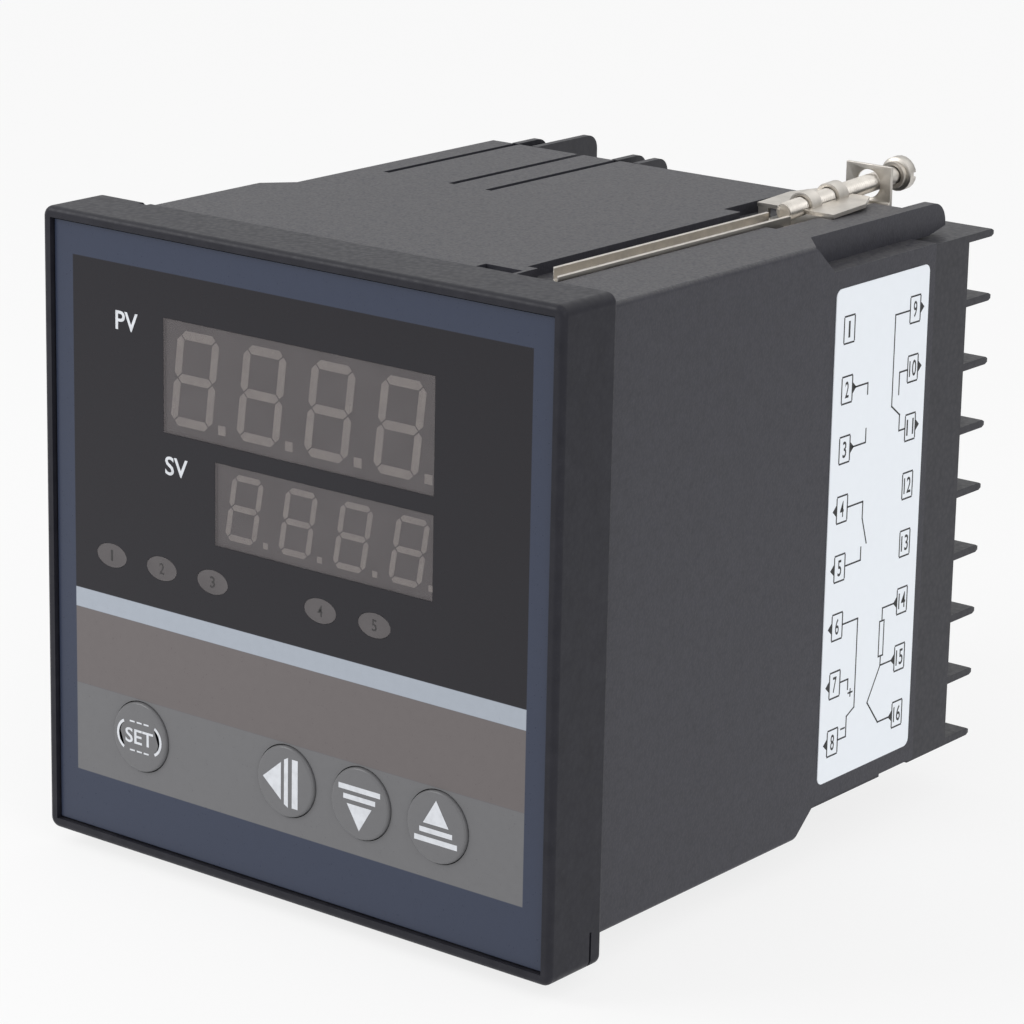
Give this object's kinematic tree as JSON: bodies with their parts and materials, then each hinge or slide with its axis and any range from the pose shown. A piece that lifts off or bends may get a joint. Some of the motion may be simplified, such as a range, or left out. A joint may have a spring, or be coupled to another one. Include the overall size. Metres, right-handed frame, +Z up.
{
  "type": "pid temperature controller",
  "caption": "Square panel-mount process controller with two segment displays, indicator lamps, front keys, two screw clamps for the panel and rear screw terminals.",
  "frame": {"origin": "centre of the panel cut-out, in the plane where the bezel's back bears on the panel", "axes": "+Y from the front to the rear along the case, +Z up, +X to the right as seen from the front"},
  "size_m": [0.096, 0.1138, 0.1006],
  "materials": {
    "case_black": "fine-textured moulded plastic",
    "base_black": "moulded plastic",
    "film_print": "satin printed polyester film",
    "window_tint": "smoked window of the film",
    "display_black": "dark display face",
    "segment_grey": "unlit diffusing segments",
    "key_grey": "satin printed dome",
    "switch_black": "moulded plastic",
    "lamp_resin": "diffused resin",
    "plated_steel": "nickel-plated sheet and screws",
    "contact_brass": "tinned brass",
    "label_paper": "matt label",
    "board_green": "solder resist",
    "core_steel": "varnished laminations",
    "coil_tape": "polyester tape",
    "relay_black": "moulded cover",
    "can_aluminium": "sleeveless can"
  },
  "bodies": {
    "controller": {"front_bezel": "case_black", "front_film": "film_print", "pv_window": "window_tint", "sv_window": "window_tint", "indicator_lenses": "window_tint", "pv_display": "display_black", "pv_segments": "segment_grey", "sv_display": "display_black", "sv_segments": "segment_grey", "push_switches": "switch_black", "indicator_leds": "lamp_resin", "case_shell": "case_black", "top_clamp_anchor": "plated_steel", "bottom_clamp_anchor": "plated_steel", "terminal_base": "base_black", "terminal_contacts": "contact_brass", "terminal_clamps": "plated_steel", "terminal_screws": "plated_steel", "side_label": "label_paper", "display_board": "board_green", "power_board": "board_green", "logic_board": "board_green", "transformer_core": "core_steel", "transformer_coil": "coil_tape", "output_relays": "relay_black", "filter_capacitor": "can_aluminium", "control_chip": "switch_black", "board_headers": "switch_black"},
    "set_key_cap": {"set_key": "key_grey", "set_plunger": "switch_black"},
    "left_key_cap": {"left_key": "key_grey", "left_plunger": "switch_black"},
    "down_key_cap": {"down_key": "key_grey", "down_plunger": "switch_black"},
    "up_key_cap": {"up_key": "key_grey", "up_plunger": "switch_black"},
    "top_bar": {"top_clamp_bar": "plated_steel"},
    "top_washer": {"top_clamp_washer": "plated_steel"},
    "top_screw": {"top_clamp_screw": "plated_steel"},
    "bottom_bar": {"bottom_clamp_bar": "plated_steel"},
    "bottom_washer": {"bottom_clamp_washer": "plated_steel"},
    "bottom_screw": {"bottom_clamp_screw": "plated_steel"}
  },
  "joints": [
    {"name": "set_key_press", "type": "slide", "parent": "controller", "child": "set_key_cap", "axis": [0, 1, 0], "range_m": [0, 0.0004], "stiffness_N_per_m": 3000},
    {"name": "left_key_press", "type": "slide", "parent": "controller", "child": "left_key_cap", "axis": [0, 1, 0], "range_m": [0, 0.0004], "stiffness_N_per_m": 3000},
    {"name": "down_key_press", "type": "slide", "parent": "controller", "child": "down_key_cap", "axis": [0, 1, 0], "range_m": [0, 0.0004], "stiffness_N_per_m": 3000},
    {"name": "up_key_press", "type": "slide", "parent": "controller", "child": "up_key_cap", "axis": [0, 1, 0], "range_m": [0, 0.0004], "stiffness_N_per_m": 3000},
    {"name": "top_bar_slide", "type": "slide", "parent": "controller", "child": "top_bar", "axis": [0, -1, 0], "range_m": [-0.004, 0.006]},
    {"name": "top_washer_travel", "type": "slide", "parent": "controller", "child": "top_washer", "axis": [0, -0.999, -0.0454], "range_m": [0, 0.005]},
    {"name": "top_screw_turn", "type": "hinge", "parent": "top_washer", "child": "top_screw", "pos_m": [0.0289, 0.0695, 0.04625], "axis": [0, -0.999, -0.0454], "range_deg": [0, 3601]},
    {"name": "bottom_bar_slide", "type": "slide", "parent": "controller", "child": "bottom_bar", "axis": [0, -1, 0], "range_m": [-0.004, 0.006]},
    {"name": "bottom_washer_travel", "type": "slide", "parent": "controller", "child": "bottom_washer", "axis": [0, -0.999, 0.0454], "range_m": [0, 0.005]},
    {"name": "bottom_screw_turn", "type": "hinge", "parent": "bottom_washer", "child": "bottom_screw", "pos_m": [-0.0289, 0.0695, -0.04625], "axis": [0, -0.999, 0.0454], "range_deg": [0, 3601]}
  ],
  "couplings": [
    {"joint": "top_screw_turn", "follows": "top_washer_travel", "rad_per_m": 12566},
    {"joint": "bottom_screw_turn", "follows": "bottom_washer_travel", "rad_per_m": 12566}
  ]
}
